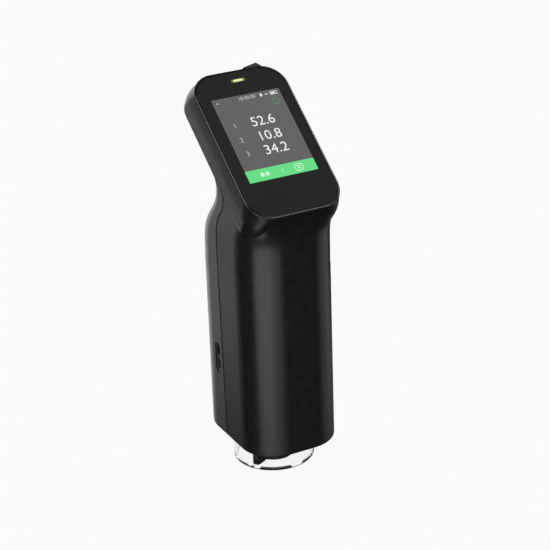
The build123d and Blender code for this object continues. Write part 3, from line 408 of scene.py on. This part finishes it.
# the lit screen, in millimetres from its centre
display = {
    "thickness": 0.02, "proud": 0.03, "corner": 0.4, "statusRise": 26.3, "barHeight": 7.9, "barProud": 0.05,
    "inkProud": 0.075, "inkDepth": 0.012, "plateSteps": 6, "outlineSteps": 8,
    # share of a character's size that its capitals fill, and the steps of its curves
    "capitals": 0.72, "curveSteps": 4,
    "readings": [("52.6", 9.5), ("10.8", -0.6), ("34.2", -10.1)],
    "readingHeight": 6.4, "readingRight": 10.7,
    "labels": [("1", 9.5), ("2", -0.6), ("3", -10.1)], "labelHeight": 3.2, "labelLeft": -15.8,
    "clock": "10:20:30", "clockHeight": 2.3, "clockWeight": 0.03,
    # surface colour and glow of the panes and inks, and how rough they are
    "paint": {
        "screenGrey": ((0.02, 0.02, 0.02), (0.084, 0.080, 0.082)),
        "barGreen": ((0.02, 0.05, 0.02), (0.10, 0.67, 0.20)),
        "readingInk": ((0.05, 0.05, 0.05), (0.80, 0.80, 0.80)),
        "faintInk": ((0.03, 0.03, 0.03), (0.46, 0.46, 0.46)),
        "iconGreen": ((0.02, 0.03, 0.02), (0.05, 0.26, 0.11)),
        "barInk": ((0.05, 0.05, 0.05), (0.62, 0.95, 0.66)),
    },
    "paintRough": 0.12,
    # name: row, place across and above the row's middle, size, corner, ink, stroke of an outline
    "marks": {
        "batteryIcon": ("status", (17.3, 0.0), (4.6, 2.3), 0.4, "readingInk", 0.35),
        "batteryCharge": ("status", (16.9, 0.0), (2.6, 1.1), 0.15, "readingInk", None),
        "statusBar": ("status", (12.6, 0.0), (2.2, 0.9), 0.3, "faintInk", None),
        "statusDrop": ("status", (9.2, 0.0), (1.3, 2.1), 0.6, "readingInk", None),
        "statusMark": ("status", (-18.6, -0.4), (1.5, 0.8), 0.35, "faintInk", None),
        "targetIcon": ("screen", (16.6, 20.6), (5.2, 4.6), 2.2, "iconGreen", 0.4),
        "targetCentre": ("screen", (16.6, 20.4), (2.0, 2.0), 0.9, "iconGreen", 0.35),
        "barDivider": ("bar", (0.4, 0.0), (0.25, 3.2), 0.1, "barInk", None),
        "sampleIcon0": ("bar", (-12.2, 0.0), (2.4, 2.4), 0.9, "barInk", None),
        "sampleIcon1": ("bar", (-9.0, 0.0), (2.4, 2.4), 0.9, "barInk", None),
        "cardIcon": ("bar", (10.9, 0.0), (5.2, 4.6), 0.9, "barInk", 0.4),
        "cardLine": ("bar", (10.9, 0.9), (3.0, 0.4), 0.15, "barInk", None),
        "cardMark": ("bar", (10.9, -0.6), (1.5, 0.9), 0.3, "barInk", None),
    },
}


def roundedPlate(name, width, height, thickness, corner, centre=(0.0, 0.0), stroke=None):
    # a thin rounded plate, flat on the local XY plane, or only its outline where it has a stroke
    pickNothing()
    bpy.ops.mesh.primitive_plane_add(size=1, location=(centre[0] * mm, centre[1] * mm, 0))
    plate = bpy.context.object
    plate.name = name
    plate.scale = (width * mm, height * mm, 1)
    bpy.ops.object.transform_apply(location=True, rotation=True, scale=True)
    bpy.ops.object.mode_set(mode="EDIT")
    bpy.ops.mesh.select_all(action="SELECT")
    cornerSteps = display["outlineSteps"] if stroke else display["plateSteps"]
    bpy.ops.mesh.bevel(offset=corner * mm, segments=cornerSteps, affect="VERTICES")
    if stroke:
        bpy.ops.mesh.inset(thickness=stroke * mm)
        bpy.ops.mesh.delete(type="FACE")
        bpy.ops.mesh.select_all(action="SELECT")
    bpy.ops.mesh.extrude_region_move(TRANSFORM_OT_translate={"value": (0, 0, thickness * mm)})
    bpy.ops.mesh.select_all(action="SELECT")
    bpy.ops.mesh.normals_make_consistent(inside=False)
    bpy.ops.object.mode_set(mode="OBJECT")
    return plate


def printed(name, words, height, place, align="LEFT", weight=0.0):
    # characters as flat raised ink
    pickNothing()
    bpy.ops.object.text_add(location=(place[0] * mm, place[1] * mm, 0))
    ink = bpy.context.object
    ink.name = name
    ink.data.body = words
    ink.data.size = height * mm / display["capitals"]
    ink.data.align_x = align
    ink.data.align_y = "CENTER"
    ink.data.offset = weight * mm
    ink.data.extrude = display["inkDepth"] * mm
    ink.data.resolution_u = display["curveSteps"]
    bpy.ops.object.convert(target="MESH")
    return bpy.context.object


def makeDisplay():
    paint = {name: glowFinish(name, colour, glow, display["paintRough"])
             for name, (colour, glow) in display["paint"].items()}
    width, length = face["screenWidth"] / mm, face["screenLength"] / mm
    thickness, corner = display["thickness"], display["corner"]
    rows = {"status": display["statusRise"], "screen": 0.0, "bar": -(length - display["barHeight"]) / 2}
    pane = roundedPlate("screenPane", width, length, thickness, corner)
    settle(pane, faceMatrix(display["proud"] * mm), paint["screenGrey"])
    bar = roundedPlate("screenBar", width, display["barHeight"], thickness, corner, (0, rows["bar"]))
    settle(bar, faceMatrix(display["barProud"] * mm), paint["barGreen"])
    inkPlace = faceMatrix(display["inkProud"] * mm)
    for index, (words, rise) in enumerate(display["readings"]):
        place = (display["readingRight"], rise)
        digits = printed(f"reading{index}", words, display["readingHeight"], place, "RIGHT")
        settle(digits, inkPlace, paint["readingInk"])
    for index, (words, rise) in enumerate(display["labels"]):
        place = (display["labelLeft"], rise)
        digits = printed(f"quantity{index}", words, display["labelHeight"], place)
        settle(digits, inkPlace, paint["faintInk"])
    place = (0, rows["status"])
    clock = printed("statusDigits", display["clock"], display["clockHeight"], place, "CENTER",
                    display["clockWeight"])
    settle(clock, inkPlace, paint["faintInk"])
    for name, (row, (x, rise), size, rounding, ink, stroke) in display["marks"].items():
        place = (x, rows[row] + rise)
        mark = roundedPlate(name, *size, display["inkDepth"], rounding, place, stroke)
        settle(mark, inkPlace, paint[ink])


makeDisplay()
print("display drawn")

# painted shade: a dark strip over each flank's seam stands in for the seam's shadow
seamShade = {
    "width": 1.2 * mm, "thickness": 0.05 * mm, "above": 0.01 * mm, "shift": 0.125 * mm,
    # it is drawn this far out, from a first strip this long, and the strip's top edge is found this closely
    "clear": 45 * mm, "firstStrip": 0.2 * mm, "closeness": 0.001 * mm,
    # side view (y, z) in mm: up the flank, forward at the neck, then along the head
    "route": [(2.58, 20.0), (3.2, 52.0), (3.9, 88.0), (4.5, 119.0), (4.9, 140.0), (4.95, 143.3),
              (4.89, 146.5), (4.59, 149.8), (3.9, 153.0), (2.78, 156.1), (1.23, 158.9), (-0.75, 161.5),
              (-2.97, 163.9), (-4.94, 166.5), (-6.29, 169.5), (-7.01, 172.7), (-6.63, 175.9),
              (-4.61, 178.4), (3.28, 184.6), (19.1, 196.9), (34.9, 209.1), (38.0, 211.6), (40.4, 213.5),
              (42.0, 214.7), (43.2, 215.6)],
}


def makeSeamShade(name, side):
    # painted shade: a thin dark strip along the seam of one flank, standing in for the shadow in the seam,
    # drawn beside the object and laid onto it
    route = [Vector((0, y, z)) * mm for y, z in seamShade["route"]]
    pickNothing()
    bpy.ops.mesh.primitive_plane_add(size=1, rotation=(0, pi / 2, 0))
    shadeStrip = bpy.context.object
    shadeStrip.name = name
    shadeStrip.scale = (seamShade["firstStrip"], seamShade["width"], 1)
    shadeStrip.location = route[0] + Vector((side * seamShade["clear"], seamShade["shift"], 0))
    bpy.ops.object.transform_apply(location=True, rotation=True, scale=True)
    for here, there in zip(route, route[1:]):
        top = max(vertex.co.z for vertex in shadeStrip.data.vertices) - seamShade["closeness"]
        bpy.ops.object.mode_set(mode="EDIT")
        bpy.ops.mesh.select_mode(type="EDGE")
        bpy.ops.mesh.select_all(action="DESELECT")
        bpy.ops.object.mode_set(mode="OBJECT")
        for edge in shadeStrip.data.edges:
            edge.select = all(shadeStrip.data.vertices[index].co.z > top for index in edge.vertices)
        bpy.ops.object.mode_set(mode="EDIT")
        bpy.ops.mesh.extrude_edges_move(TRANSFORM_OT_translate={"value": there - here})
        bpy.ops.object.mode_set(mode="OBJECT")
    lay = shadeStrip.modifiers.new("lay", "SHRINKWRAP")
    lay.wrap_method = "PROJECT"
    lay.wrap_mode = "ABOVE_SURFACE"
    lay.target = frame["nodes"]["front_housing"]
    lay.auxiliary_target = frame["nodes"]["rear_cover"]
    lay.use_project_x = True
    lay.use_positive_direction = side < 0
    lay.use_negative_direction = side > 0
    lay.offset = seamShade["above"]
    bpy.ops.object.modifier_apply(modifier="lay")
    bpy.ops.object.mode_set(mode="EDIT")
    bpy.ops.mesh.select_all(action="SELECT")
    bpy.ops.mesh.solidify(thickness=seamShade["thickness"])
    bpy.ops.mesh.select_all(action="SELECT")
    bpy.ops.mesh.normals_make_consistent(inside=False)
    bpy.ops.object.mode_set(mode="OBJECT")
    settle(shadeStrip, Matrix.Identity(4), finishes["cap"])


# painted shade along the seams of both flanks
for name, side in (("seamShadeLeft", -1), ("seamShadeRight", 1)):
    makeSeamShade(name, side)
print("seam beads laid")


def awayFrom(azimuth, elevation):
    # a direction by its angle to the left of the front and its height
    return Vector((-sin(azimuth) * cos(elevation), -cos(azimuth) * cos(elevation), sin(elevation)))


camera = {"azimuth": radians(27.28), "elevation": radians(23.81), "roll": radians(-2.03),
          "distance": 1.05414, "target": Vector((4.872, 0, 116.122)) * mm,
          "lens": 117.82, "sensor": 36.0, "nearest": 0.01, "farthest": 50}


def placeCamera():
    back = awayFrom(camera["azimuth"], camera["elevation"])
    roll = camera["roll"]
    right = (-back).cross(Vector((0, 0, 1))).normalized()
    up = right.cross(-back)
    across = right * cos(roll) + up * sin(roll)
    upward = up * cos(roll) - right * sin(roll)
    data = bpy.data.cameras.new("studioCamera")
    data.lens = camera["lens"]
    data.sensor_width = camera["sensor"]
    data.clip_start = camera["nearest"]
    data.clip_end = camera["farthest"]
    lensHolder = bpy.data.objects.new("studioCamera", data)
    bpy.context.scene.collection.objects.link(lensHolder)
    turn = Matrix((across, upward, back)).transposed().to_4x4()
    lensHolder.matrix_world = Matrix.Translation(camera["target"] + back * camera["distance"]) @ turn
    bpy.context.scene.camera = lensHolder


studio = {
    # the floor lies low enough for the ring to slide off above it
    "floorSize": 12.0, "floorDrop": 28 * mm, "floorColour": (0.955, 0.955, 0.955), "fill": 0.012,
    "aim": Vector((0, 0, 120)) * mm,
    # name: (azimuth to the left of the front, elevation, distance, width, height, power)
    "lamps": {
        "frontStrip": (29, -12, 1.3, 2.1, 1.05, 7.3),
        "frontCore": (43, -15, 1.35, 1.25, 0.8, 3.0),
        "lowLeft": (53, -59, 1.3, 0.5, 0.42, 1.0),
        "leftRear": (150, -20, 1.45, 0.8, 0.7, 0.36),
        "rearEdge": (168, -12, 1.45, 0.45, 0.9, 1.3),
        "behind": (186, -15, 1.45, 0.6, 1.1, 2.0),
        "behindHigh": (165, 16, 1.45, 1.1, 0.5, 5.0),
        "rightRim": (-80, -15, 1.4, 1.3, 0.9, 1.9),
        "rimLeft": (96, 30, 1.4, 0.9, 0.9, 8.6),
        "rimLow": (-29, 33, 1.4, 0.7, 0.8, 5.2),
        "rimRight": (-98, 30, 1.4, 0.7, 0.8, 6.0),
        "cornerRight": (-134, 8, 1.4, 0.6, 0.7, 4.5),
        "lowRight": (-135, -38, 1.4, 0.7, 0.6, 0.3),
        "overhead": (-65, 62, 1.3, 1.2, 1.2, 3.4),
    },
}


def makeFloor():
    pickNothing()
    bpy.ops.mesh.primitive_plane_add(size=studio["floorSize"], location=(0, 0, -studio["floorDrop"]))
    floor = bpy.context.object
    floor.name = "studioFloor"
    paper = bpy.data.materials.new("palePaper")
    paper.use_nodes = True
    tree = paper.node_tree
    tree.nodes.clear()
    output = tree.nodes.new("ShaderNodeOutputMaterial")
    glow = tree.nodes.new("ShaderNodeEmission")
    glow.inputs["Color"].default_value = (*studio["floorColour"], 1)
    tree.links.new(glow.outputs["Emission"], output.inputs["Surface"])
    floor.data.materials.append(paper)
    floor.visible_glossy = False
    floor.visible_diffuse = False
    floor.visible_shadow = False


def makeLamps():
    for name, (azimuth, elevation, distance, width, height, power) in studio["lamps"].items():
        towards = awayFrom(radians(azimuth), radians(elevation))
        lampData = bpy.data.lights.new(name, "AREA")
        lampData.shape = "RECTANGLE"
        lampData.size = width
        lampData.size_y = height
        lampData.energy = power
        lamp = bpy.data.objects.new(name, lampData)
        bpy.context.scene.collection.objects.link(lamp)
        lamp.location = studio["aim"] + towards * distance
        lamp.rotation_euler = towards.to_track_quat("Z", "Y").to_euler()
        lamp.visible_camera = False


def makeRoom():
    # pale to look at, and nearly dark as a light
    world = bpy.data.worlds.new("paleRoom")
    bpy.context.scene.world = world
    world.use_nodes = True
    tree = world.node_tree
    dim = tree.nodes["Background"]
    dim.inputs["Color"].default_value = (1, 1, 1, 1)
    dim.inputs["Strength"].default_value = studio["fill"]
    bright = tree.nodes.new("ShaderNodeBackground")
    bright.inputs["Color"].default_value = (*studio["floorColour"], 1)
    path = tree.nodes.new("ShaderNodeLightPath")
    mix = tree.nodes.new("ShaderNodeMixShader")
    tree.links.new(path.outputs["Is Camera Ray"], mix.inputs["Fac"])
    tree.links.new(dim.outputs["Background"], mix.inputs[1])
    tree.links.new(bright.outputs["Background"], mix.inputs[2])
    tree.links.new(mix.outputs["Shader"], tree.nodes["World Output"].inputs["Surface"])
    bpy.context.scene.view_settings.view_transform = "Standard"


placeCamera()
makeFloor()
makeLamps()
makeRoom()
print("studio set")
